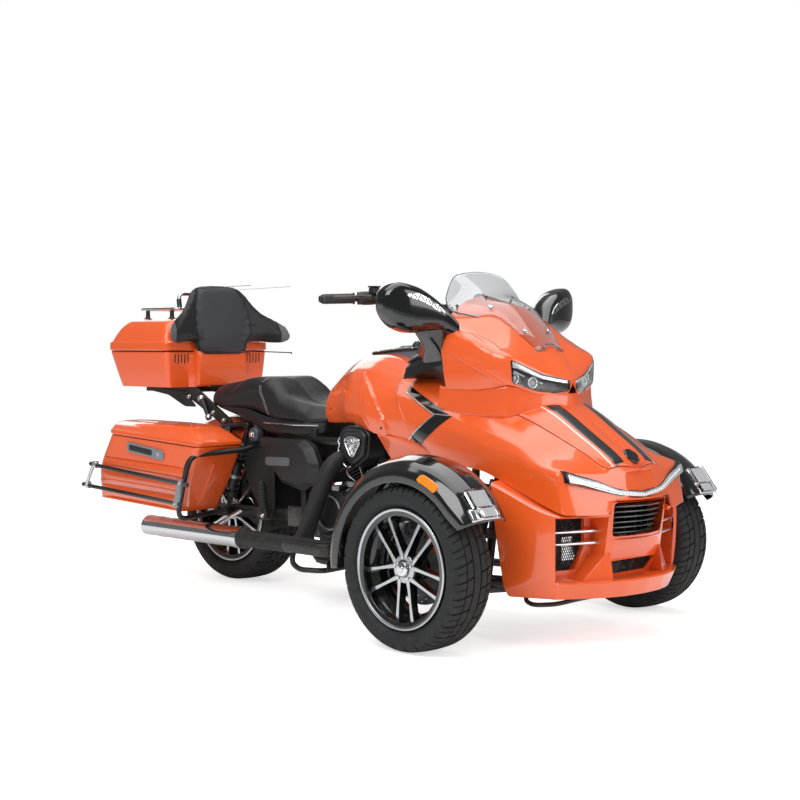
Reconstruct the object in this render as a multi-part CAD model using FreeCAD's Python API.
import FreeCAD, Part
import math
import os

# Reverse trike, two steered wheels in front and one driven wheel behind, in millimetres.
# +X points forward, +Y left, +Z up.  Z = 0 is the ground and Y = 0 the middle plane.
# Right-hand pieces lie at negative Y.  A piece described for one side is mirrored for the other.

V = FreeCAD.Vector
Y_AXIS = V(0, 1, 0)
SIDES = (("right", -1), ("left", 1))

# ---------------------------------------------------------------- driving dimensions
# running gear
FRONT_AXLE_X = 880.0
WHEELBASE = 1670.0
REAR_AXLE_X = FRONT_AXLE_X - WHEELBASE
HALF_TRACK = 620.0
FRONT_TYRE_R = 281.0
FRONT_TYRE_W = 182.0
FRONT_RIM_R = 190.0
REAR_TYRE_R = 311.0
REAR_TYRE_W = 190.0
REAR_RIM_R = 214.0
KINGPIN_Y = HALF_TRACK - 66.0
SEAT_GAP = 0.3
AXLE_R = 12.0
HUB_DEPTH = 0.36
HUB_BACK = HUB_DEPTH * FRONT_TYRE_W / 2

# front bodywork
NOSE_WALL = 12.0
LIP_Z = 236.0
PANEL_WALL = 6.0
TANK_WALL = 8.0
SCREEN_WALL = 4.0

# rear luggage
CASE_HALF_W = 286.0
CASE_FRONT_X = -962.0
CASE_REAR_X = -1391.0
CASE_RIM_Z = 995.0
CASE_FLOOR_Z = 838.0
CASE_WALL = 6.0
BAG_IN_Y = 205.0
BAG_OUT_Y = 450.0
BAG_WALL = 6.0

# number plate bracket
PLATE_X = -1209.0
PLATE_Z = 452.0
PLATE_WALL = 3.0
PLATE_HOLES_Y = 150.0
PLATE_HOLES_Z = 80.0
PLATE_HOLE_R = 3.5

HINGE_R = 5.0

# controls
STEER_HEAD_X = 430.0
STEER_HEAD_Z = 1000.0
STEER_RAKE = 24.0
HEAD_R = 28.0
HEAD_LENGTH = 240.0
RAIL_Y = 136.0


# ---------------------------------------------------------------- building blocks
def block(x0, x1, y0, y1, z0, z1):
    """Box between two corners."""
    return Part.makeBox(x1 - x0, y1 - y0, z1 - z0, V(x0, y0, z0))


def rod(start, end, radius):
    """Round bar between two points."""
    axis = V(*end) - V(*start)
    return Part.makeCylinder(radius, axis.Length, V(*start), axis)


def ring(start, end, outer, inner):
    """Round tube between two points."""
    return rod(start, end, outer).cut(rod(start, end, inner))


def mirrored(shape):
    """The same piece on the other side of the middle plane."""
    return shape.mirror(V(0, 0, 0), Y_AXIS)


def sided(shape, side):
    """A piece drawn on the left, placed on the given side."""
    return shape if side > 0 else mirrored(shape)


def fuse(*shapes):
    """Joins shapes into one solid and drops the seams."""
    result = shapes[0]
    for shape in shapes[1:]:
        result = result.fuse(shape)
    return result.removeSplitter()


def polygon(points):
    """Closed wire of straight edges."""
    return Part.makePolygon([V(*p) for p in points] + [V(*points[0])])


def rounded(points, radius):
    """Closed planar wire through the corners, each turned into an arc."""
    corners = [V(*p) for p in points]
    count = len(corners)
    cuts = []
    for i, corner in enumerate(corners):
        back = corners[i - 1] - corner
        ahead = corners[(i + 1) % count] - corner
        half = back.getAngle(ahead) / 2
        reach = min(radius / math.tan(half), 0.45 * back.Length, 0.45 * ahead.Length)
        back.normalize()
        ahead.normalize()
        middle = back + ahead
        middle.normalize()
        size = reach * math.tan(half)
        centre = corner + middle * (size / math.sin(half))
        cuts.append((corner + back * reach, centre - middle * size, corner + ahead * reach))
    edges = []
    for i, (start, top, end) in enumerate(cuts):
        edges.append(Part.Arc(start, top, end).toShape())
        edges.append(Part.LineSegment(end, cuts[(i + 1) % count][0]).toShape())
    return Part.Wire(edges)


def loft(wires, ruled=True):
    """Closed solid through a row of wires."""
    return Part.makeLoft(wires, True, ruled)


def prism(points, direction):
    """Polygon pushed along a direction."""
    return Part.Face(polygon(points)).extrude(V(*direction))


def soft_prism(points, radius, direction):
    """Polygon with rounded corners pushed along a direction."""
    return Part.Face(rounded(points, radius)).extrude(V(*direction))


def pipe(points, radius, bend):
    """Round bar along straight runs joined by tangent arcs."""
    nodes = [V(*p) for p in points]
    edges = []
    start = nodes[0]
    for before, corner, after in zip(nodes, nodes[1:], nodes[2:]):
        back = (before - corner)
        ahead = (after - corner)
        half = back.getAngle(ahead) / 2
        reach = min(bend / math.tan(half), 0.45 * back.Length, 0.45 * ahead.Length)
        back.normalize()
        ahead.normalize()
        middle = back + ahead
        middle.normalize()
        size = reach * math.tan(half)
        centre = corner + middle * (size / math.sin(half))
        edges.append(Part.LineSegment(start, corner + back * reach).toShape())
        edges.append(Part.Arc(corner + back * reach, centre - middle * size, corner + ahead * reach).toShape())
        start = corner + ahead * reach
    edges.append(Part.LineSegment(start, nodes[-1]).toShape())
    path = Part.Wire(edges)
    mouth = Part.Wire(Part.makeCircle(radius, nodes[0], nodes[1] - nodes[0]))
    return path.makePipeShell([mouth], True, True)


def turned(profile, centre_x, centre_z):
    """Solid of revolution about a cross-wise axle; profile holds (radius, y) pairs."""
    points = [V(centre_x + r, y, centre_z) for r, y in profile]
    face = Part.Face(Part.makePolygon(points + [points[0]]))
    return face.revolve(V(centre_x, 0, centre_z), Y_AXIS, 360)


def inset(profile, wall):
    """Moves each corner of a half section inwards by the wall."""
    result = []
    count = len(profile)
    for i, (y, z) in enumerate(profile):
        before = profile[i - 1] if i else (-profile[1][0], profile[1][1])
        after = profile[i + 1] if i + 1 < count else (-profile[-2][0], profile[-2][1])
        a = V(y - before[0], z - before[1], 0).normalize()
        b = V(after[0] - y, after[1] - z, 0).normalize()
        normal = V(a.y + b.y, -a.x - b.x, 0).normalize()
        reach = wall / max(0.5, normal.dot(V(a.y, -a.x, 0)))
        result.append((y + normal.x * reach, z + normal.y * reach))
    return result


def section(x, slant, profile):
    """Closed cross-section from half a profile, top middle first, bottom middle last.

    slant moves the section forward for each unit of height above its last point.
    """
    base = profile[-1][1]
    left = [(x + slant * (z - base), y, z) for y, z in profile]
    right = [(px, -y, z) for px, y, z in reversed(left) if abs(y) > 1e-6]
    return polygon(left + right)


def moved(stations, wall):
    """Stations with their profiles moved inwards by the wall, or outwards if it is negative."""
    result = []
    for x, slant, profile in stations:
        points = inset(profile, wall)
        result.append((x + slant * (points[-1][1] - profile[-1][1]), slant, points))
    return result


def hull(stations, ruled=True):
    """Solid body through cross-sections given as (x, slant, half profile)."""
    return loft([section(*station) for station in stations], ruled)


def shell(stations, wall, ends, drop=0.0):
    """Hollow body from stations in order of rising x.

    ends holds how far the inner space runs past the first and the last station (negative leaves
    an end wall).  drop opens the underside by that much.
    """
    inner = []
    for x, slant, points in moved(stations, wall):
        if drop:
            points[-1] = (0.0, points[-1][1] - wall - drop)
            points[-2] = (points[-2][0], points[-2][1] - wall - drop)
            x -= slant * (wall + drop)
        inner.append([x, slant, points])
    inner[0][0] -= ends[0]
    inner[-1][0] += ends[1]
    return hull(stations).cut(hull(inner))


def largest(shape):
    """The biggest solid of a shape, without slivers left by a cut."""
    return max(shape.Solids, key=lambda solid: solid.Volume)


# ---------------------------------------------------------------- wheels
def tyre(centre_x, radius, width, rim_radius, y=0.0):
    """Road tyre with rounded shoulders and its beads on the rim."""
    half = width / 2
    profile = [
        (rim_radius + SEAT_GAP, -half * 0.70), (rim_radius + 18, -half * 0.74), (rim_radius + 26, -half * 0.92),
        (radius - 42, -half),
        (radius - 14, -half * 0.93), (radius - 3, -half * 0.72), (radius, -half * 0.3),
        (radius, half * 0.3), (radius - 3, half * 0.72), (radius - 14, half * 0.93),
        (radius - 42, half), (rim_radius + 26, half * 0.92), (rim_radius + 18, half * 0.74),
        (rim_radius + SEAT_GAP, half * 0.70),
    ]
    return turned([(r, y + v) for r, v in profile], centre_x, radius)


def rim(centre_x, radius, width, rim_radius, y, face, spoke_pairs, disc_radius, bore=0.0):
    """Cast wheel: barrel with lips, hub, pairs of spokes and a brake disc.

    face is +1 where the spokes show towards +Y.
    """
    half = width / 2
    lip = rim_radius + 17
    barrel = [
        (rim_radius, -half * 0.74), (lip, -half * 0.78), (lip, -half * 0.86), (rim_radius - 10, -half * 0.82),
        (rim_radius - 12, -half * 0.5), (rim_radius - 34, -half * 0.2), (rim_radius - 34, half * 0.2),
        (rim_radius - 12, half * 0.5), (rim_radius - 10, half * 0.82), (lip, half * 0.86), (lip, half * 0.78),
        (rim_radius, half * 0.74), (rim_radius, half * 0.45), (rim_radius - 24, half * 0.2),
        (rim_radius - 24, -half * 0.2), (rim_radius, -half * 0.45),
    ]
    barrel = [(r, y + face * v) for r, v in barrel]
    wheel = turned(barrel, centre_x, radius)
    plane = y + face * half * 0.62
    hub = rod((centre_x, y - face * half * HUB_DEPTH, radius), (centre_x, plane, radius), 46)
    wheel = wheel.fuse(hub)
    step = 360.0 / spoke_pairs
    for k in range(spoke_pairs):
        for hand in (-1, 1):
            foot = math.radians(90 + k * step + hand * step * 0.10)
            tip = math.radians(90 + k * step + hand * step * 0.34)
            wheel = wheel.fuse(spoke(centre_x, radius, foot, tip, rim_radius - 9, plane, face))
    disc = ring((centre_x, y - face * half * HUB_DEPTH, radius), (centre_x, y - face * half * 0.30, radius),
                disc_radius, 40)
    wheel = wheel.fuse(disc).removeSplitter()
    if bore:
        wheel = wheel.cut(rod((centre_x, y - width, radius), (centre_x, y + width, radius), bore))
    return wheel


def spoke(centre_x, centre_z, foot, tip, reach, plane, face):
    """One tapered spoke from the hub at angle foot to the barrel at angle tip."""
    wires = []
    for angle, distance, width, depth in ((foot, 34, 30, 30), (tip, reach, 20, 22)):
        across = V(-math.sin(angle), 0, math.cos(angle)) * (width / 2)
        out = V(centre_x + distance * math.cos(angle), plane, centre_z + distance * math.sin(angle))
        back = V(0, -face * depth, 0)
        wires.append(polygon([out - across, out + across, out + across + back, out - across + back]))
    return loft(wires)


# ---------------------------------------------------------------- front corner
ARM_LOW_Z = 178.0
ARM_TOP_Z = 362.0
ARM_THICK = 18.0
ARM_IN_Y = 300.0
FENDER_R = 378.0
FENDER_WALL = 4.0
FENDER_FROM = -29.0
FENDER_SWEEP = 156.0
FENDER_IN_Y = KINGPIN_Y - 48.0
FENDER_OUT_Y = HALF_TRACK + 93.0
LAMP_ANGLE = 38.0


def knuckle():
    """Upright with kingpin, spindle, brake caliper, steering arm and the yoke that carries the fender."""
    low = ARM_LOW_Z + ARM_THICK + SEAT_GAP
    high = ARM_TOP_Z - SEAT_GAP
    pin = rod((FRONT_AXLE_X, KINGPIN_Y, low), (FRONT_AXLE_X, KINGPIN_Y, high), 20)
    spindle = rod((FRONT_AXLE_X, KINGPIN_Y, FRONT_TYRE_R),
                  (FRONT_AXLE_X, HALF_TRACK - HUB_BACK - SEAT_GAP, FRONT_TYRE_R), 26)
    arm = block(FRONT_AXLE_X - 120, FRONT_AXLE_X, KINGPIN_Y - 26, KINGPIN_Y - 12, 222, 244)
    yoke = block(FRONT_AXLE_X - 100, FRONT_AXLE_X + 100, FENDER_IN_Y + 1, KINGPIN_Y - 12, 326, 350)
    piece = fuse(pin, spindle, arm, yoke)
    for x in (FRONT_AXLE_X - 100, FRONT_AXLE_X + 84):
        offset = abs(x + 8 - FRONT_AXLE_X)
        top = FRONT_TYRE_R + math.sqrt((FENDER_R - 10) ** 2 - offset ** 2)
        piece = piece.fuse(block(x, x + 16, FENDER_IN_Y + 1, FENDER_IN_Y + 13, 326, top))
    caliper = soft_prism([
        (FRONT_AXLE_X + 60, KINGPIN_Y + 8, 240), (FRONT_AXLE_X + 150, KINGPIN_Y + 8, 240),
        (FRONT_AXLE_X + 150, KINGPIN_Y + 8, 336), (FRONT_AXLE_X + 60, KINGPIN_Y + 8, 336)], 14, (0, 19, 0))
    link = block(FRONT_AXLE_X, FRONT_AXLE_X + 90, KINGPIN_Y - 14, KINGPIN_Y + 8.5, 262, 300)
    return largest(fuse(piece, link, caliper).cut(front_fender()))


def front_fender():
    """Arched fender that turns with the wheel, with its lamp on the front end."""
    inner = FENDER_IN_Y
    outer = FENDER_OUT_Y
    profile = [
        (FENDER_R - 88, outer - 2), (FENDER_R - 52, outer), (FENDER_R - 16, outer - 36),
        (FENDER_R, outer - 90), (FENDER_R, inner + 50), (FENDER_R - 10, inner + 14), (FENDER_R - 34, inner),
    ]
    inner_profile = [(r - FENDER_WALL, y - math.copysign(FENDER_WALL * 0.8, y - HALF_TRACK))
                     for r, y in reversed(profile)]
    points = [V(FRONT_AXLE_X + r, y, FRONT_TYRE_R) for r, y in profile + inner_profile]
    face = Part.Face(Part.makePolygon(points + [points[0]]))
    centre = V(FRONT_AXLE_X, 0, FRONT_TYRE_R)
    face.rotate(centre, Y_AXIS, FENDER_FROM)
    arch = face.revolve(centre, Y_AXIS, -FENDER_SWEEP)
    lamp = soft_prism([
        (FRONT_AXLE_X + FENDER_R - 6, HALF_TRACK - 44, FRONT_TYRE_R - 38),
        (FRONT_AXLE_X + FENDER_R + 16, HALF_TRACK - 44, FRONT_TYRE_R - 30),
        (FRONT_AXLE_X + FENDER_R + 12, HALF_TRACK - 44, FRONT_TYRE_R + 34),
        (FRONT_AXLE_X + FENDER_R - 8, HALF_TRACK - 44, FRONT_TYRE_R + 42)], 5, (0, 88, 0))
    lamp.rotate(centre, Y_AXIS, -LAMP_ANGLE)
    return arch.fuse(lamp)


def front_suspension():
    """Lower and upper arms, shock absorber and tie rod of one front corner."""
    pieces = []
    for z, spread in ((ARM_LOW_Z, 150.0), (ARM_TOP_Z, 110.0)):
        arm = prism([
            (FRONT_AXLE_X - 24, KINGPIN_Y + 16, z), (FRONT_AXLE_X + 24, KINGPIN_Y + 16, z),
            (FRONT_AXLE_X + spread, ARM_IN_Y, z), (FRONT_AXLE_X - spread, ARM_IN_Y, z)], (0, 0, ARM_THICK))
        hole = prism([
            (FRONT_AXLE_X, KINGPIN_Y - 60, z - 1), (FRONT_AXLE_X + spread - 34, ARM_IN_Y + 34, z - 1),
            (FRONT_AXLE_X - spread + 34, ARM_IN_Y + 34, z - 1)], (0, 0, ARM_THICK + 2))
        pieces.append(arm.cut(hole))
    shock = pipe([(FRONT_AXLE_X + 60, 470, ARM_LOW_Z + 4), (FRONT_AXLE_X + 60, 300, 560)], 9, 1)
    coil = rod((FRONT_AXLE_X + 60, 440, 245), (FRONT_AXLE_X + 60, 330, 492), 28)
    pieces.append(fuse(shock, coil))
    return pieces


# ---------------------------------------------------------------- front bodywork
# Stations hold: x, forward slant, half profile as (y, z) from the top middle to the bottom middle.
NOSE_STATIONS = (
    (1087.0, -0.20, ((0, 566), (330, 566), (390, 560), (400, 420), (400, 210), (382, 176), (0, 170))),
    (1240.0, 0.10, ((0, 466), (316, 466), (338, 460), (342, 400), (340, 250), (322, 178), (0, 170))),
    (1276.0, 0.165, ((0, 460), (194, 458), (204, 452), (206, 400), (204, 250), (190, 178), (0, 170))),
    (1317.0, 0.10, ((0, 458), (104, 456), (112, 450), (112, 400), (110, 250), (100, 178), (0, 172))),
    (1350.0, 0.02, ((0, 456), (40, 452), (44, 446), (44, 400), (44, 250), (38, 180), (0, 174))),
)
BODY_STATIONS = (
    (566.9, -0.70, ((0, 958), (125, 952), (222, 898), (286, 838), (303, 745), (303, 700), (292, 670),
     (0, 670))),
    (722.0, 0.0, ((0, 862), (215, 848), (258, 818), (300, 776), (320, 730), (324, 660), (318, 610),
     (0, 610))),
    (917.0, 0.0, ((0, 852), (218, 800), (264, 768), (310, 728), (332, 684), (338, 640), (338, 592),
     (0, 592))),
    (1003.0, 0.0, ((0, 834), (208, 771), (266, 742), (316, 705), (336, 664), (342, 620), (342, 567),
     (0, 567))),
    (1085.0, 0.0, ((0, 796), (199, 741), (266, 712), (320, 680), (338, 650), (342, 600), (342, 536),
     (0, 536))),
    (1216.0, -0.20, ((0, 712), (170, 667), (262, 642), (334, 622), (341, 604), (342, 560),
     (342, 486.3), (0, 486.3))),
    (1284.0, -0.20, ((0, 690), (150, 650), (250, 630), (330, 616), (339, 602), (341, 550),
     (338, 466.4), (0, 466.4))),
    (1356.0, -0.25, ((0, 620), (116, 600), (122, 592), (126, 582), (128, 568), (128, 530),
     (124, 458.4), (0, 458.4))),
    (1368.0, -0.20, ((0, 600), (34, 597), (36, 592), (37, 582), (38, 568), (38, 530), (36, 456.6),
     (0, 456.6))),
)
HOOD_OUTLINE = ((640, 215), (880, 219), (1003, 208), (1085, 199), (1228, 166), (1314, 142), (1340, 50))
FAIRING_STATIONS = (
    (700.0, -0.17, ((0, 1205), (130, 1182), (230, 1121), (262, 1086), (280, 1041), (284, 960),
     (280, 868), (0, 868))),
    (800.0, -0.10, ((0, 1170), (104, 1154), (232, 1072), (262, 1062), (278, 1044), (280, 960),
     (274, 868), (0, 866))),
    (905.0, -0.05, ((0, 1064), (76, 1056), (234, 1016), (258, 1006), (266, 990), (268, 940),
     (256, 876), (0, 860))),
    (955.0, 0.0, ((0, 1002), (72, 996), (226, 990), (236, 984), (240, 972), (242, 940), (236, 886),
     (0, 853))),
    (1012.0, 0.0, ((0, 948), (50, 942), (112, 930), (120, 924), (124, 914), (124, 890), (104, 850),
     (0, 848))),
    (1050.0, 0.0, ((0, 909), (14, 907), (24, 902), (30, 896), (34, 890), (34, 872), (28, 850), (0, 847))),
)
LENS_OUTLINE = ((40, 868), (100, 856), (224, 892), (230, 972), (120, 920), (40, 904))
# centre x, centre z, edge x, edge z, half width of the windshield from its foot to its top
SCREEN_ROWS = (
    (952, 1013, 947, 1003, 72), (890, 1083, 869, 1050, 130), (786, 1180, 752, 1122, 174),
    (690, 1216, 655, 1150, 215), (604, 1294, 594, 1262, 186),
)
# x, y, z of the fairing under each bolt of the windshield
SCREEN_BOLTS = ((880, 59, 1064), (774, 98, 1152), (672, 120, 1176))


def grille_hole():
    """Opening for the radiator grille, through the bumper and the panel above it."""
    return loft([polygon([(x, -w, 380), (x, w, 380), (x, w + 8, 496), (x, -w - 8, 496)])
                 for x, w in ((1180, 88), (1420, 94))])


def bezel():
    """Raised block around the grille opening, before the opening is cut."""
    return loft([
        polygon([(1300, -104, 364), (1300, 104, 364), (1300, 110, 508), (1300, -110, 508)]),
        polygon([(1354, -104, 364), (1354, 104, 364), (1382, 110, 508), (1382, -110, 508)])])


def lip():
    """Chin lip in front of the bumper, its top higher than its bottom is long."""
    wires = []
    for z, half in ((178, ((1196, 318), (1238, 332), (1284, 262), (1332, 186), (1360, 100), (1368, 0))),
                    (LIP_Z, ((1196, 322), (1244, 338), (1292, 300), (1346, 206), (1374, 108), (1382, 0)))):
        points = [(x, y, z) for x, y in half]
        wires.append(polygon(points + [(x, -y, z) for x, y, z in reversed(points[:-1])]))
    return loft(wires)


def pocket(grow):
    """Recess beside the grille on the left, grown backwards, sideways and up by a wall."""
    return prism([(1190 - grow, 318, LIP_Z - grow), (1230 - grow, 206, LIP_Z - grow),
                  (1264 - grow, 104 - grow, LIP_Z - grow), (1440, 104 - grow, LIP_Z - grow),
                  (1440, 345, LIP_Z - grow), (1256, 345, LIP_Z - grow), (1244, 328, LIP_Z - grow)],
                 (0, 0, 452 - LIP_Z + 2 * grow))


def chin(grow):
    """Recess below the grille, its back sloping forward to the top."""
    return prism([(1288 - grow, -106, LIP_Z - grow), (1440, -106, LIP_Z - grow), (1440, -106, 364 + grow),
                  (1336 - grow, -106, 364 + grow)], (0, 212, 0))


def nose_body():
    """Bumper and side panels in one moulding, open at the back, with its recesses and air openings cut."""
    outside = hull(NOSE_STATIONS)
    body = shell(NOSE_STATIONS, NOSE_WALL, (40.0, -NOSE_WALL))
    for room in (pocket(NOSE_WALL), mirrored(pocket(NOSE_WALL)), chin(NOSE_WALL)):
        body = body.fuse(room.common(outside))
    for room in (pocket(0.0), mirrored(pocket(0.0)), chin(0.0)):
        body = body.cut(room)
    low = prism([(1240, -100, 292), (1240, 100, 292), (1240, 66, 248), (1240, -66, 248)], (180, 0, 0))
    side = prism([(1150, 152, 440), (1150, 306, 446), (1150, 306, 266), (1150, 190, 266), (1150, 152, 362)],
                 (180, 0, 0))
    body = body.fuse(lip()).fuse(bezel()).cut(block(900, 1236, -300, 300, 440, 620))
    return largest(body.cut(grille_hole()).cut(low).cut(side).cut(mirrored(side)))


def grille_insert():
    """Black radiator shroud with the middle slats and the side bars."""
    panel = largest(block(1190, 1200, -380, 380, 236, 448).cut(nose_body()))
    spine = block(1200, 1290, -80, 80, 300, 320)
    piece = panel.fuse(spine)
    for k in range(5):
        z = 394 + 21 * k
        piece = piece.fuse(block(1284, 1338, -87, 87, z, z + 8))
    return piece.fuse(block(1200, 1296, -6, 6, 310, 486))


def hood_prism(grow):
    """Upright prism over the hood's outline, grown sideways and forwards."""
    left = [(x + (grow if x > 1300 else 0), y + grow, 400) for x, y in HOOD_OUTLINE]
    right = [(x, -y, z) for x, y, z in reversed(left)]
    return prism(left + right, (0, 0, 700))


def upper_shell():
    """Painted shell over the front axle, open below, before the hood is parted from it."""
    return shell(BODY_STATIONS, PANEL_WALL, (40.0, -PANEL_WALL), 60.0)


def front_body():
    """Painted panels around the hood, with the flank that reaches back below the tank."""
    apron = prism([(352, 284, 693), (640, 284, 676), (640, 284, 610), (432, 284, 600)], (0, 8, 0))
    body = upper_shell().fuse(apron).fuse(mirrored(apron)).cut(hood_prism(0.0)).cut(grille_hole())
    body = body.cut(hull(moved(TANK_STATIONS, -SEAT_GAP))).cut(steering_head(HEAD_R + 14))
    return largest(body.cut(hull(NOSE_STATIONS)).cut(bezel()))


def hood():
    """Hood panel between the fairing and the nose."""
    return upper_shell().common(hood_prism(-SEAT_GAP)).cut(grille_hole())


def light_bar():
    """Slim lamp across the whole nose, broad at its swept ends and thin in the middle."""
    # front x at the top, top z, front x at the bottom, bottom z for each y
    rows = ((330, 1279, 611, 1297, 573), (200, 1323, 568, 1331, 543), (115, 1348, 538, 1352, 522),
            (0, 1364, 524, 1366, 509))
    points = list(rows) + [(-y, a, b, c, d) for y, a, b, c, d in reversed(rows[:-1])]
    wires = [polygon([(a, y, b), (c, y, d), (c - 60, y, d), (a - 60, y, b)]) for y, a, b, c, d in points]
    bars = [loft([start, end]) for start, end in zip(wires, wires[1:])]
    return largest(fuse(*bars).cut(hull(BODY_STATIONS)))


def lens_room(grow):
    """Room of both headlights, grown by a clearance."""
    centre_y = sum(y for y, _ in LENS_OUTLINE) / len(LENS_OUTLINE)
    centre_z = sum(z for _, z in LENS_OUTLINE) / len(LENS_OUTLINE)
    points = [(930, y + math.copysign(grow, y - centre_y), z + math.copysign(grow, z - centre_z))
              for y, z in LENS_OUTLINE]
    return prism(points, (150, 0, 0))


def fairing():
    """Upper fairing that carries the headlights and, on six short posts, the windshield."""
    body = shell(FAIRING_STATIONS, PANEL_WALL, (40.0, -PANEL_WALL))
    room = lens_room(1.0)
    body = body.cut(room).cut(mirrored(room)).cut(hull(moved(BODY_STATIONS, -SEAT_GAP)))
    sheet = windshield()
    for x, y, z in SCREEN_BOLTS:
        for hand in (-1, 1):
            post = rod((x, hand * y, z - 8), (x, hand * y, z + 60), 5).cut(sheet)
            body = body.fuse(min(post.Solids, key=lambda solid: solid.BoundBox.ZMin))
    return body


def headlight():
    """Lens and housing of one headlight, flush with the fairing."""
    back = hull(FAIRING_STATIONS)
    back.translate(V(-26, 0, -4))
    lens = hull(FAIRING_STATIONS).common(lens_room(0.0)).cut(back)
    return largest(lens.cut(hull(moved(BODY_STATIONS, -SEAT_GAP))))


def windshield():
    """Clear curved sheet over the fairing."""
    wires = []
    for x, z, edge_x, edge_z, half in SCREEN_ROWS:
        out = V(x - edge_x, 0, z - edge_z).normalize() * (SCREEN_WALL * 1.3)
        low = [V(edge_x, -half, edge_z), V(x, 0, z), V(edge_x, half, edge_z)]
        top = [point + out for point in low]
        wires.append(Part.Wire([
            Part.Arc(*low).toShape(), Part.LineSegment(low[2], top[2]).toShape(),
            Part.Arc(*reversed(top)).toShape(), Part.LineSegment(top[0], low[0]).toShape()]))
    return loft(wires).cut(hull(FAIRING_STATIONS))


def cockpit():
    """Black instrument housing between the fairing and the tank."""
    stations = (
        (470.0, 0.20, ((0, 1010), (140, 1008), (226, 980), (262, 940), (268, 900), (0, 900))),
        (697.0, -0.17, ((0, 1150), (150, 1128), (230, 1086), (262, 1040), (274, 960), (266, 880), (0, 880))),
    )
    body = hull(stations).cut(steering_head(HEAD_R + 4)).cut(hull(moved(BODY_STATIONS, -SEAT_GAP)))
    return largest(body.cut(hull(moved(TANK_STATIONS, -SEAT_GAP))).cut(hull(FAIRING_STATIONS)))


# y, front, rear, bottom and top of the mirror shell from the fairing outwards
MIRROR_ROWS = (
    (250, 735, 655, 1056, 1116), (312, 706, 596, 1076, 1188), (400, 692, 570, 1068, 1236),
    (462, 672, 566, 1084, 1247), (521, 634, 580, 1146, 1206),
)


def mirror():
    """Mirror pod: one glossy shell that reaches out from the fairing and swells towards its end."""
    wires = []
    for y, front, rear, low, top in MIRROR_ROWS:
        cut_x = (front - rear) * 0.28
        cut_z = (top - low) * 0.28
        wires.append(polygon([
            (front, y, low + cut_z), (front, y, top - cut_z), (front - cut_x, y, top), (rear + cut_x, y, top),
            (rear, y, top - cut_z), (rear, y, low + cut_z), (rear + cut_x, y, low), (front - cut_x, y, low)]))
    return largest(loft(wires).cut(hull(FAIRING_STATIONS)).cut(cockpit()).cut(windshield()))


def hood_vent():
    """Black chevron vent on the flank, in front of the tank."""
    outline = prism([(x, 200, z) for x, z in (
        (477, 873), (746, 771), (587, 657), (530, 684), (668, 776), (486, 853))], (0, 200, 0))
    skin = hull(moved(BODY_STATIONS, -6)).fuse(hull(moved(TANK_STATIONS, -6)))
    return largest(outline.common(skin).cut(hull(BODY_STATIONS)).cut(hull(TANK_STATIONS)).cut(hull(FAIRING_STATIONS)))


# ---------------------------------------------------------------- tank, seat and tail
TANK_STATIONS = (
    (-110.0, 0.0, ((0, 880), (50, 876), (100, 845), (125, 790), (128, 742), (110, 712), (0, 712))),
    (0.0, 0.0, ((0, 958), (70, 950), (130, 902), (165, 820), (169, 758), (150, 716), (0, 716))),
    (110.0, 0.0, ((0, 990), (90, 984), (166, 934), (214, 850), (222, 768), (200, 722), (0, 722))),
    (200.0, 0.0, ((0, 994), (102, 987), (190, 935), (244, 850), (254, 765), (232, 714), (0, 714))),
    (320.0, 0.0, ((0, 976), (114, 969), (213, 910), (275, 838), (290, 750), (272, 694), (0, 694))),
    (566.5, -0.70, ((0, 958), (125, 952), (222, 898), (286, 838), (303, 745), (292, 670), (0, 670))),
)
SEAT_STATIONS = (
    (-820.0, 0.0, ((0, 842), (130, 838), (158, 812), (160, 770), (150, 756), (0, 756))),
    (-560.0, 0.0, ((0, 892), (130, 886), (168, 860), (172, 770), (160, 752), (0, 752))),
    (-420.0, 0.0, ((0, 896), (110, 892), (170, 850), (178, 740), (166, 722), (0, 722))),
    (-330.0, 0.0, ((0, 806), (130, 806), (180, 780), (186, 722), (170, 710), (0, 710))),
    (-200.0, 0.0, ((0, 776), (110, 782), (160, 760), (172, 716), (160, 708), (0, 708))),
    (-110.3, 0.0, ((0, 782), (60, 780), (108, 758), (124, 716), (116, 708), (0, 708))),
)


def tank():
    """Hollow tank cover, open below and in front, with a hole for the steering stem."""
    return shell(TANK_STATIONS, TANK_WALL, (-TANK_WALL, 40.0), 60.0).cut(steering_head(HEAD_R + 14))


def tank_console():
    """Black console along the top of the tank."""
    piece = loft([
        polygon([(90, -58, 970), (90, 58, 970), (90, 50, 1000), (90, -50, 1000)]),
        polygon([(200, -66, 970), (200, 66, 970), (200, 56, 1012), (200, -56, 1012)]),
        polygon([(345, -76, 960), (345, 76, 960), (345, 66, 1020), (345, -66, 1020)])])
    return largest(piece.cut(hull(moved(TANK_STATIONS, -SEAT_GAP))))


def seat():
    """Two-step seat."""
    return hull(SEAT_STATIONS)


def side_cover():
    """Black cover under the seat."""
    return soft_prism([
        (-110, 165, 560), (-90, 165, 690), (-380, 165, 700), (-420, 165, 640), (-360, 165, 540)],
        24, (0, 53, 0)).fuse(rod((-320, RAIL_Y + 16.3, 646), (-320, 166, 646), 12))


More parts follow.
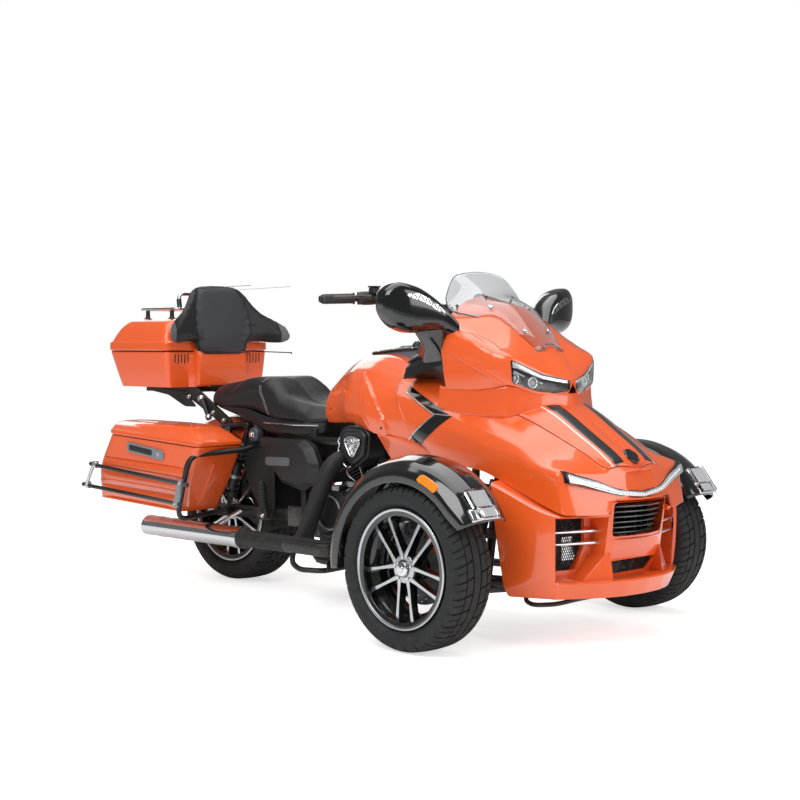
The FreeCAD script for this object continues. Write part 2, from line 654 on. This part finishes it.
def rear_fender():
    """Rear fender over the driven wheel."""
    outer, wall, half = 398.0, 4.0, 116.0
    profile = [(outer - 60, half), (outer - 14, half - 6), (outer, half - 30), (outer, 30 - half),
               (outer - 14, 6 - half), (outer - 60, -half)]
    inner = [(r - wall, y * 0.96) for r, y in reversed(profile)]
    centre = V(REAR_AXLE_X, 0, REAR_TYRE_R)
    points = [V(REAR_AXLE_X + r, y, REAR_TYRE_R) for r, y in profile + inner]
    face = Part.Face(Part.makePolygon(points + [points[0]]))
    face.rotate(centre, Y_AXIS, -50)
    arch = face.revolve(centre, Y_AXIS, -125)
    plate = block(PLATE_X - PLATE_WALL, PLATE_X, -95, 95, PLATE_Z - 60, PLATE_Z + 60)
    for y in (-PLATE_HOLES_Y / 2, PLATE_HOLES_Y / 2):
        for z in (-PLATE_HOLES_Z / 2, PLATE_HOLES_Z / 2):
            plate = plate.cut(rod((PLATE_X - 20, y, PLATE_Z + z), (PLATE_X + 20, y, PLATE_Z + z), PLATE_HOLE_R))
    stem = block(PLATE_X - 1, REAR_AXLE_X - outer + 36, -20, 20, PLATE_Z - 26, PLATE_Z + 4)
    ears = rod((-700, -119.7, 674.6), (-700, 119.7, 674.6), 8).cut(rod((-700, -108, 674.6), (-700, 108, 674.6), 9))
    return fuse(arch, stem, plate, *ears.Solids)


# ---------------------------------------------------------------- luggage
def tray(rings, wall):
    """Hollow box through rounded rings listed from the bottom up, open at the top.

    Each ring holds: front x, rear x, inner y, outer y, front z, rear z.
    """
    outer = loft([luggage_ring(ring_size, 0.0) for ring_size in rings])
    first = list(rings[0])
    last = list(rings[-1])
    first[4] += wall
    first[5] += wall
    last[4] += wall
    last[5] += wall
    inner = loft([luggage_ring(size, wall) for size in [first] + [list(r) for r in rings[1:-1]] + [last]])
    return outer.cut(inner)


def luggage_ring(size, wall):
    """Rounded ring of one luggage box, moved inwards by the wall."""
    front, rear, y0, y1, zf, zr = size
    return rounded([
        (front - wall, y0 + wall, zf), (front - wall, y1 - wall, zf),
        (rear + wall, y1 - wall, zr), (rear + wall, y0 + wall, zr)], 34 - wall)


BAG_RINGS = (
    (-690.0, -1275.0, BAG_IN_Y + 5, BAG_OUT_Y - 30, 330.0, 352.0),
    (-600.0, -1230.0, BAG_IN_Y, BAG_OUT_Y, 480.0, 500.0),
    (-532.0, -1150.0, BAG_IN_Y, BAG_OUT_Y, 606.0, 637.0),
)
CASE_RINGS = (
    (CASE_FRONT_X - 10, CASE_REAR_X + 60, 20 - CASE_HALF_W, CASE_HALF_W - 20, CASE_FLOOR_Z, CASE_FLOOR_Z),
    (CASE_FRONT_X, CASE_REAR_X, -CASE_HALF_W, CASE_HALF_W, CASE_RIM_Z, CASE_RIM_Z),
)


def saddlebag():
    """Hollow saddlebag box."""
    return tray(BAG_RINGS, BAG_WALL)


def cover(rings, wall):
    """Hollow lid through rounded rings listed from the rim up."""
    outer = loft([luggage_ring(size, 0.0) for size in rings])
    first = list(rings[0])
    last = list(rings[-1])
    first[4] -= wall
    first[5] -= wall
    last[4] -= wall
    last[5] -= wall
    inner = loft([luggage_ring(size, wall) for size in [first] + [list(r) for r in rings[1:-1]] + [last]])
    return outer.cut(inner)


def saddlebag_lid():
    """Lid of one saddlebag with its hinge barrel along the inner edge."""
    lid = cover((
        (-532.0, -1150.0, BAG_IN_Y, BAG_OUT_Y, 606.0 + SEAT_GAP, 637.0 + SEAT_GAP),
        (-560.0, -1200.0, BAG_IN_Y + 30, BAG_OUT_Y - 50, 676.0, 690.0),
    ), BAG_WALL)
    hinge_y = BAG_IN_Y - HINGE_R - 1
    slope = (637.0 - 606.0) / (532.0 - 1150.0)
    ends = [(x, hinge_y, 606.0 + slope * (x + 532.0)) for x in (-640.0, -1040.0)]
    tabs = [prism([(x + 30, hinge_y, z + 1), (x + 30, BAG_IN_Y + 4, z + 1), (x + 30, BAG_IN_Y + 12, z + 18),
                   (x + 30, hinge_y, z + 4)], (-60, 0, 0)) for x, _, z in ((-680.0, 0, 614.3), (-1000.0, 0, 630.4))]
    return fuse(lid, rod(*ends, HINGE_R), *tabs)


def case_base():
    """Lower half of the top case."""
    return tray(CASE_RINGS, CASE_WALL)


def case_lid():
    """Lid of the top case with an upright band above the rim and its hinge barrel behind."""
    rim = CASE_RIM_Z + SEAT_GAP
    lid = cover((
        (CASE_FRONT_X, CASE_REAR_X, -CASE_HALF_W, CASE_HALF_W, rim, rim),
        (CASE_FRONT_X, CASE_REAR_X, -CASE_HALF_W, CASE_HALF_W, rim + 36, rim + 36),
        (CASE_FRONT_X - 46, CASE_REAR_X + 70, 48 - CASE_HALF_W, CASE_HALF_W - 48, 1138.0, 1138.0),
    ), CASE_WALL)
    hinge_x = CASE_REAR_X - HINGE_R - 1
    barrel = rod((hinge_x, -150, CASE_RIM_Z), (hinge_x, 150, CASE_RIM_Z), HINGE_R)
    tab = block(hinge_x, CASE_REAR_X + 3, -120, 120, rim + 0.7, rim + 4)
    return fuse(lid, barrel, tab)


def luggage_rack():
    """Rack on the top case lid with a raised hoop at its front."""
    loop = pipe([(-1200, 150, 1184), (-1360, 150, 1184), (-1360, -150, 1184), (-1060, -150, 1184),
                 (-1060, 150, 1184), (-1200, 150, 1184)], 7, 60)
    feet = [rod((x, y, 1138), (x, y, 1184), 7) for x in (-1100, -1280) for y in (-150, 150)]
    bars = [rod((-1360, y, 1184), (-1060, y, 1184), 6) for y in (-60, 60)]
    hoop = pipe([(-1070, -130, 1184), (-1090, -120, 1250), (-1090, 120, 1250), (-1070, 130, 1184)], 8, 30)
    return fuse(loop, hoop, *feet, *bars)


def backrest():
    """Passenger backrest with two wings."""
    lean = math.radians(6.6)
    half = [(118, 972), (138, 1030), (206, 1112), (192, 1168), (118, 1291)]
    corners = half + [(-y, z) for y, z in reversed(half)]
    pad = soft_prism([(-915 - (z - 972) * math.tan(lean), y, z) for y, z in corners], 36, (-34, 0, 0))
    wing = loft([
        polygon([(-924, 120, 1034), (-955, 120, 1034), (-968, 120, 1140), (-936, 120, 1140)]),
        polygon([(-866, 220, 1030), (-896, 220, 1030), (-904, 220, 1142), (-874, 220, 1142)]),
        polygon([(-790, 302, 1036), (-818, 302, 1036), (-818, 302, 1096), (-790, 302, 1096)])])
    return fuse(pad, wing, mirrored(wing))


def carrier():
    """Black bracket that holds the top case over the tail."""
    plate = block(-1320, -1000, -142, 142, 812, CASE_FLOOR_Z - SEAT_GAP)
    legs = []
    for side in (-1, 1):
        leg = prism([(-1010, 126, 812), (-1060, 126, 812), (-760, 126, 684.3), (-700, 126, 691)], (0, 16, 0))
        strut = prism([(-940, 60, 812), (-960, 60, 812), (-948, 60, 971.7), (-924, 60, 971.7)], (0, 26, 0))
        foot = block(-1010, -940, 60, 86, 812, 826)
        legs += [sided(leg, side), sided(strut, side), sided(foot, side)]
    return fuse(plate, *legs)


def guard():
    """Two guard tubes and the front hoop of one saddlebag."""
    high = rod((-560, 470, 452), (-1281, 470, 501), 9)
    low = rod((-620, 470, 371), (-1341, 470, 407), 9)
    hoop = pipe([(-690, 180, 320), (-664, 455, 300), (-492, 460, 590), (-470, 215, 675),
                 (-470, RAIL_Y + 16.3, 675)], 11, 50)
    return fuse(high, low, hoop)


# ---------------------------------------------------------------- frame and drive
def steer_point(distance):
    """Point on the steering axis, so far above the head's upper end."""
    lean = math.radians(STEER_RAKE)
    return (STEER_HEAD_X - distance * math.sin(lean), 0.0, STEER_HEAD_Z + distance * math.cos(lean))


def steering_head(radius):
    """Steering head tube, or the room for it when the radius is larger."""
    return rod(steer_point(-HEAD_LENGTH), steer_point(0), radius)


def frame():
    """Welded tube frame with the front tub rails and the steering head."""
    low = steer_point(12 - HEAD_LENGTH)
    tubs = []
    for side in (-1, 1):
        tubs += [sided(shape, side) for shape in (
            pipe([low, (300, RAIL_Y, 640), (-250, RAIL_Y, 640), (-560, RAIL_Y, 690), (-760, RAIL_Y, 668)], 16, 60),
            pipe([low, (430, 180, 600), (390, 200, 170), (-80, 200, 170), (-180, 176, 300), (-230, RAIL_Y, 640)],
                 16, 70),
            rod((380, 200, 172), (1165, 200, 205), 16),
            rod((FRONT_AXLE_X, 262, 190), (FRONT_AXLE_X, 200, 560), 16),
            rod((420, 186, 560), (1150, 200, 480), 14),
            rod((1150, 200, 480), (1150, 200, 205), 12),
            block(-300, -170, ARM_OUT_Y + SEAT_GAP, 165, 285, 365),
            pipe([(-700, 146, 674), (-700, 146, 590), (-700, BAG_IN_Y - SEAT_GAP, 590)], 9, 22),
            rod((FRONT_AXLE_X + 160, ARM_IN_Y - 12.3, 187), (FRONT_AXLE_X - 160, ARM_IN_Y - 12.3, 187), 12),
            rod((FRONT_AXLE_X + 120, ARM_IN_Y - 12.3, 371), (FRONT_AXLE_X - 120, ARM_IN_Y - 12.3, 371), 12),
        )]
    cross = [rod((x, -200, z), (x, 200, z), 14) for x, z in ((1165, 205), (1150, 480), (410, 172), (-80, 170))]
    cross.append(rod((FRONT_AXLE_X, -286, 187), (FRONT_AXLE_X, 286, 187), 12))
    cross.append(rod((FRONT_AXLE_X, -286, 371), (FRONT_AXLE_X, 286, 371), 12))
    cross.append(rod((-480, -RAIL_Y, 677), (-480, RAIL_Y, 677), 12))
    cross.append(rod((60, -200, 180.2), (60, 200, 180.2), 14))
    return fuse(steering_head(HEAD_R), *tubs, *cross)


ARM_OUT_Y = 140.0
ARM_WIDE = 28.0
SHOCK_LOW = (-700.0, 160.0, 318.0)
SHOCK_TOP = (-560.0, 160.0, 684.0)


def swingarm():
    """Rear swingarm with its axle ends."""
    legs = []
    for side in (-1, 1):
        inside = ARM_OUT_Y - ARM_WIDE
        leg = prism([(-250, inside, 300), (-250, inside, 350), (-820, inside, 336), (-820, inside, 286)],
                    (0, ARM_WIDE, 0))
        legs.append(sided(leg, side))
    cross = rod((-262, -ARM_OUT_Y, 325), (-262, ARM_OUT_Y, 325), 30)
    axle = rod((REAR_AXLE_X, -150, REAR_TYRE_R), (REAR_AXLE_X, 150, REAR_TYRE_R), 12)
    return fuse(cross, axle, *legs)


def rear_shock():
    """One rear shock absorber with its eyes on the swingarm and on the frame rail."""
    low, top = V(*SHOCK_LOW), V(*SHOCK_TOP)
    coil = rod(tuple(low + (top - low) * 0.2), tuple(low + (top - low) * 0.74), 24)
    low_eye = rod((low.x, ARM_OUT_Y + SEAT_GAP, low.z), (low.x, low.y + 14, low.z), 14)
    top_eye = rod((top.x, RAIL_Y + 16.3, top.z), (top.x, top.y + 8, top.z), 12)
    return fuse(rod(SHOCK_LOW, SHOCK_TOP, 8), coil, low_eye, top_eye)


def engine():
    """Crankcase with the round covers of both sides."""
    case = soft_prism([(-140, -130, 200), (230, -130, 190), (300, -130, 300), (230, -130, 420),
                       (-60, -130, 440), (-160, -130, 340)], 40, (0, 260, 0))
    clutch = rod((96, -255, 385), (96, 255, 385), 70).fuse(rod((-20, -200, 320), (-20, 200, 320), 62))
    return case.fuse(clutch).removeSplitter()


def engine_cylinders():
    """Two finned cylinders in a V."""
    pieces = []
    for lean in (-27.0, 27.0):
        barrel = Part.makeCylinder(58, 250, V(100, 0, 370))
        for k in range(8):
            barrel = barrel.fuse(Part.makeCylinder(84, 7, V(100, 0, 446 + 16 * k)))
        barrel = barrel.fuse(block(30, 170, -90, 90, 572, 630))
        barrel.rotate(V(100, 0, 330), Y_AXIS, lean)
        pieces.append(barrel)
    return fuse(*pieces)


def air_cleaner():
    """Shield-shaped air cleaner between the cylinders."""
    shield = soft_prism([(182, -160, 556), (244, -160, 600), (244, -160, 690), (120, -160, 690), (120, -160, 600)],
                        22, (0, -100, 0))
    return shield.fuse(rod((182, -90, 600), (182, -161, 600), 14))


def exhaust_header():
    """Large down pipe that sweeps back into the muffler."""
    return pipe([(78, 92.3, 585), (72, 300, 575), (66, 320, 240), (-120, 304, 236), (-430, 300, 235)], 34, 90)


def muffler():
    """Chrome muffler with an open tip."""
    can = rod((-431, 300, 235), (-1070, 300, 235), 43)
    return can.cut(rod((-1071, 300, 235), (-960, 300, 235), 34))


def footboard():
    """Rider's footboard on its bracket."""
    board = soft_prism([(230, 362, 226), (-110, 362, 226), (-110, 452, 226), (200, 452, 226)], 24, (0, 0, 16))
    arm = pipe([(150, 216.3, 170), (150, 400, 170), (130, 410, 228)], 11, 30)
    return fuse(board, arm)


# ---------------------------------------------------------------- controls
def handlebar():
    """Handlebar with its stem, clamp, grips, switches and levers."""
    right = [(236, -450, 1195), (340, -300, 1200), (396, -180, 1150)]
    bar = pipe(right + [(x, -y, z) for x, y, z in reversed(right)], 12, 60)
    stem = rod(steer_point(0.3), steer_point(150), 24)
    clamp = block(366, 426, -50, 50, 1128, 1168)
    sides = []
    for side in (-1, 1):
        grip = rod((300, 357.7, 1198), (232, 456, 1195), 18)
        switch = rod((346, 291, 1200), (308, 346, 1198.5), 24)
        lever = fuse(rod((330, 315, 1200), (374, 345, 1204), 7), rod((374, 345, 1204), (306, 462, 1200), 6))
        sides.append(sided(fuse(grip, switch, lever), side))
    return fuse(bar, stem, clamp, *sides)


def save(name, *shapes):
    """Writes one node; several shapes make one node of solids that don't touch."""
    shape = shapes[0] if len(shapes) == 1 else Part.makeCompound(list(shapes))
    shape.exportStep("parts/%s.step" % name)


def both(shape):
    """A piece drawn on the left and its mirror image."""
    return shape, mirrored(shape)


def main():
    """Builds every node."""
    os.makedirs("parts", exist_ok=True)
    fender, upright = front_fender(), knuckle()
    bag_lid = saddlebag_lid()
    front_tyre = tyre(FRONT_AXLE_X, FRONT_TYRE_R, FRONT_TYRE_W, FRONT_RIM_R, HALF_TRACK)
    front_rim = rim(FRONT_AXLE_X, FRONT_TYRE_R, FRONT_TYRE_W, FRONT_RIM_R, HALF_TRACK, 1, 5, 130)
    for name, side in SIDES:
        save("tyre_front_" + name, sided(front_tyre, side))
        save("rim_front_" + name, sided(front_rim, side))
        save("knuckle_" + name, sided(upright, side))
        save("front_fender_" + name, sided(fender, side))
        save("saddlebag_lid_" + name, sided(bag_lid, side))
    save("tyre_rear", tyre(REAR_AXLE_X, REAR_TYRE_R, REAR_TYRE_W, REAR_RIM_R))
    save("rim_rear", rim(REAR_AXLE_X, REAR_TYRE_R, REAR_TYRE_W, REAR_RIM_R, 0, -1, 5, 120, AXLE_R + SEAT_GAP))
    arms = front_suspension()
    save("front_suspension", *arms, *[mirrored(arm) for arm in arms])
    crankcase = engine()
    for name, shape in (
            ("frame", frame()), ("swingarm", swingarm()), ("engine", crankcase),
            ("engine_cylinders", engine_cylinders().cut(crankcase)), ("air_cleaner", air_cleaner()),
            ("nose_body", nose_body()), ("grille_insert", grille_insert()), ("front_body", front_body()),
            ("hood", hood()),
            ("light_bar", light_bar()), ("fairing", fairing()), ("windshield", windshield()),
            ("cockpit", cockpit()), ("tank", tank()), ("tank_console", tank_console()),
            ("seat", seat()), ("rear_fender", rear_fender()), ("case_base", case_base()),
            ("case_lid", case_lid()), ("luggage_rack", luggage_rack()), ("backrest", backrest()),
            ("carrier", carrier()), ("handlebar", handlebar())):
        save(name, shape)
    for name, shape in (
            ("rear_shocks", rear_shock()), ("exhaust_headers", exhaust_header()), ("mufflers", muffler()),
            ("headlights", headlight()), ("mirrors", mirror()), ("hood_vents", hood_vent()),
            ("side_covers", side_cover()), ("saddlebags", saddlebag()), ("guards", guard()),
            ("footboards", footboard())):
        save(name, *both(shape))


if __name__ == "__main__":
    main()
